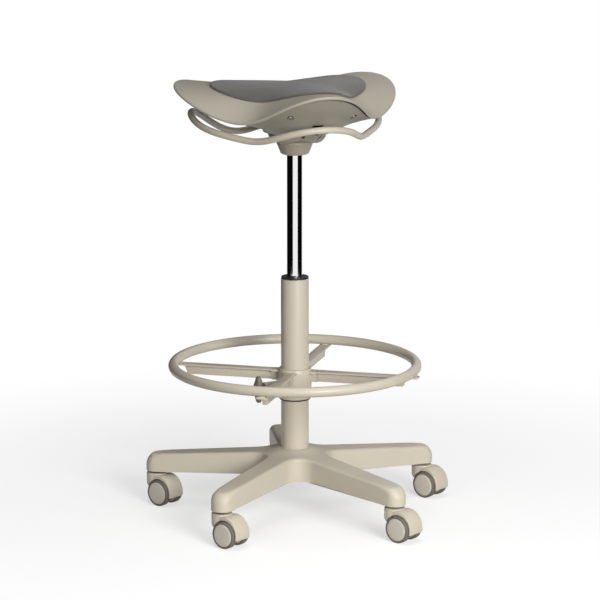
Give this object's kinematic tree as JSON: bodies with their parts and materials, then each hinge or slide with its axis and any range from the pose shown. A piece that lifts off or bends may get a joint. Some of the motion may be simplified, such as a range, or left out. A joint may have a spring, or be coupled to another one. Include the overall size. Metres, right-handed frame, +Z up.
{
  "type": "saddle stool",
  "caption": "Stool with a wavy saddle seat and soft pad, all-round release lever, gas lift column, clamped foot ring on spokes and a star base on hooded casters.",
  "frame": {"origin": "on the floor, on the column's axis", "axes": "+Z up along the column, -Y towards the seat's front, +X to the sitter's left"},
  "size_m": [0.5385, 0.5585, 0.7801],
  "materials": {
    "greige_plastic": "fine satin moulding",
    "wheel_plastic": "fine satin moulding",
    "greige_paint": "satin powder coat",
    "housing_paint": "satin powder coat",
    "shade_plastic": "satin moulding",
    "knob_plastic": "fine grained moulding",
    "tyre_rubber": "soft matt tread",
    "black_plastic": "smooth",
    "chrome": "bright plated",
    "steel": "turned and zinc plated",
    "pad_cloth": "fine matt cloth over foam"
  },
  "bodies": {
    "base": {"five_star_base": "greige_plastic", "column_tube": "greige_paint", "guide_bush": "black_plastic", "thrust_bearing": "steel", "caster_1_stem": "steel", "caster_2_stem": "steel", "caster_3_stem": "steel", "caster_4_stem": "steel", "caster_5_stem": "steel"},
    "caster_1": {"caster_1_hood": "greige_plastic", "caster_1_axle": "steel"},
    "caster_1_left": {"caster_1_left_wheel": "wheel_plastic", "caster_1_left_tyre": "tyre_rubber"},
    "caster_1_right": {"caster_1_right_wheel": "wheel_plastic", "caster_1_right_tyre": "tyre_rubber"},
    "caster_2": {"caster_2_hood": "greige_plastic", "caster_2_axle": "steel"},
    "caster_2_left": {"caster_2_left_wheel": "wheel_plastic", "caster_2_left_tyre": "tyre_rubber"},
    "caster_2_right": {"caster_2_right_wheel": "wheel_plastic", "caster_2_right_tyre": "tyre_rubber"},
    "caster_3": {"caster_3_hood": "greige_plastic", "caster_3_axle": "steel"},
    "caster_3_left": {"caster_3_left_wheel": "wheel_plastic", "caster_3_left_tyre": "tyre_rubber"},
    "caster_3_right": {"caster_3_right_wheel": "wheel_plastic", "caster_3_right_tyre": "tyre_rubber"},
    "caster_4": {"caster_4_hood": "greige_plastic", "caster_4_axle": "steel"},
    "caster_4_left": {"caster_4_left_wheel": "wheel_plastic", "caster_4_left_tyre": "tyre_rubber"},
    "caster_4_right": {"caster_4_right_wheel": "wheel_plastic", "caster_4_right_tyre": "tyre_rubber"},
    "caster_5": {"caster_5_hood": "greige_plastic", "caster_5_axle": "steel"},
    "caster_5_left": {"caster_5_left_wheel": "wheel_plastic", "caster_5_left_tyre": "tyre_rubber"},
    "caster_5_right": {"caster_5_right_wheel": "wheel_plastic", "caster_5_right_tyre": "tyre_rubber"},
    "lift_rod": {"piston_rod": "steel", "retaining_clip": "steel"},
    "seat": {"pressure_cylinder": "chrome", "mechanism_housing": "housing_paint", "lever_pivot_pin": "steel", "seat_pan": "shade_plastic", "seat_shell": "greige_plastic", "seat_pad": "pad_cloth"},
    "valve": {"valve_button": "steel"},
    "lever": {"lever_loop": "greige_plastic", "lever_yoke": "shade_plastic"},
    "ring_carrier": {"hub_liner": "black_plastic"},
    "ring": {"foot_ring": "greige_paint", "spoke_1": "greige_paint", "spoke_2": "greige_paint", "spoke_3": "greige_paint", "spoke_4": "greige_paint", "foot_ring_hub": "greige_plastic"},
    "clamp_shoe": {"clamp_pad": "black_plastic"},
    "knob": {"clamp_screw": "steel", "clamp_knob": "knob_plastic"}
  },
  "joints": [
    {"name": "caster_1_swivel", "type": "hinge", "parent": "base", "child": "caster_1", "pos_m": [0.25713, 0.02114, 0.0585], "axis": [0, 0, 1], "continuous": true},
    {"name": "caster_1_left_roll", "type": "hinge", "parent": "caster_1", "child": "caster_1_left", "pos_m": [0.28064, 0.01162, 0.024], "axis": [0.866, 0.5, 0], "continuous": true},
    {"name": "caster_1_right_roll", "type": "hinge", "parent": "caster_1", "child": "caster_1_right", "pos_m": [0.25362, -0.00398, 0.024], "axis": [0.866, 0.5, 0], "continuous": true},
    {"name": "caster_2_swivel", "type": "hinge", "parent": "base", "child": "caster_2", "pos_m": [0.05935, 0.25108, 0.0585], "axis": [0, 0, 1], "continuous": true},
    {"name": "caster_2_left_roll", "type": "hinge", "parent": "caster_2", "child": "caster_2_left", "pos_m": [0.08286, 0.24156, 0.024], "axis": [0.866, 0.5, 0], "continuous": true},
    {"name": "caster_2_right_roll", "type": "hinge", "parent": "caster_2", "child": "caster_2_right", "pos_m": [0.05584, 0.22596, 0.024], "axis": [0.866, 0.5, 0], "continuous": true},
    {"name": "caster_3_swivel", "type": "hinge", "parent": "base", "child": "caster_3", "pos_m": [-0.22045, 0.13404, 0.0585], "axis": [0, 0, 1], "continuous": true},
    {"name": "caster_3_left_roll", "type": "hinge", "parent": "caster_3", "child": "caster_3_left", "pos_m": [-0.19694, 0.12452, 0.024], "axis": [0.866, 0.5, 0], "continuous": true},
    {"name": "caster_3_right_roll", "type": "hinge", "parent": "caster_3", "child": "caster_3_right", "pos_m": [-0.22396, 0.10891, 0.024], "axis": [0.866, 0.5, 0], "continuous": true},
    {"name": "caster_4_swivel", "type": "hinge", "parent": "base", "child": "caster_4", "pos_m": [-0.1956, -0.16824, 0.0585], "axis": [0, 0, 1], "continuous": true},
    {"name": "caster_4_left_roll", "type": "hinge", "parent": "caster_4", "child": "caster_4_left", "pos_m": [-0.17209, -0.17776, 0.024], "axis": [0.866, 0.5, 0], "continuous": true},
    {"name": "caster_4_right_roll", "type": "hinge", "parent": "caster_4", "child": "caster_4_right", "pos_m": [-0.19911, -0.19336, 0.024], "axis": [0.866, 0.5, 0], "continuous": true},
    {"name": "caster_5_swivel", "type": "hinge", "parent": "base", "child": "caster_5", "pos_m": [0.09956, -0.23802, 0.0585], "axis": [0, 0, 1], "continuous": true},
    {"name": "caster_5_left_roll", "type": "hinge", "parent": "caster_5", "child": "caster_5_left", "pos_m": [0.12307, -0.24754, 0.024], "axis": [0.866, 0.5, 0], "continuous": true},
    {"name": "caster_5_right_roll", "type": "hinge", "parent": "caster_5", "child": "caster_5_right", "pos_m": [0.09605, -0.26314, 0.024], "axis": [0.866, 0.5, 0], "continuous": true},
    {"name": "seat_swivel", "type": "hinge", "parent": "base", "child": "lift_rod", "pos_m": [0, 0, 0.08], "axis": [0, 0, 1], "continuous": true},
    {"name": "seat_height", "type": "slide", "parent": "lift_rod", "child": "seat", "axis": [0, 0, 1], "range_m": [-0.2, 0]},
    {"name": "lever_lift", "type": "hinge", "parent": "seat", "child": "lever", "pos_m": [0, -0.04, 0.7066], "axis": [-1, 0, 0], "range_deg": [0, 4], "stiffness_Nm_per_rad": 4, "springref_deg": -14.32},
    {"name": "valve_press", "type": "slide", "parent": "seat", "child": "valve", "axis": [0, 0, 1], "range_m": [-0.003, 0]},
    {"name": "foot_ring_height", "type": "slide", "parent": "base", "child": "ring_carrier", "axis": [0, 0, 1], "range_m": [-0.08, 0.14]},
    {"name": "foot_ring_turn", "type": "hinge", "parent": "ring_carrier", "child": "ring", "pos_m": [0, 0, 0.2699], "axis": [0, 0, 1], "continuous": true},
    {"name": "clamp_feed", "type": "slide", "parent": "ring", "child": "clamp_shoe", "axis": [-0.9903, -0.1392, 0], "range_m": [0, 0.0025]},
    {"name": "knob_turn", "type": "hinge", "parent": "clamp_shoe", "child": "knob", "pos_m": [0, 0, 0.2316], "axis": [-0.9903, -0.1392, 0], "range_deg": [0, 720]}
  ],
  "couplings": [
    {"joint": "valve_press", "follows": "lever_lift", "m_per_rad": -0.04},
    {"joint": "knob_turn", "follows": "clamp_feed", "rad_per_m": 5026.5}
  ]
}
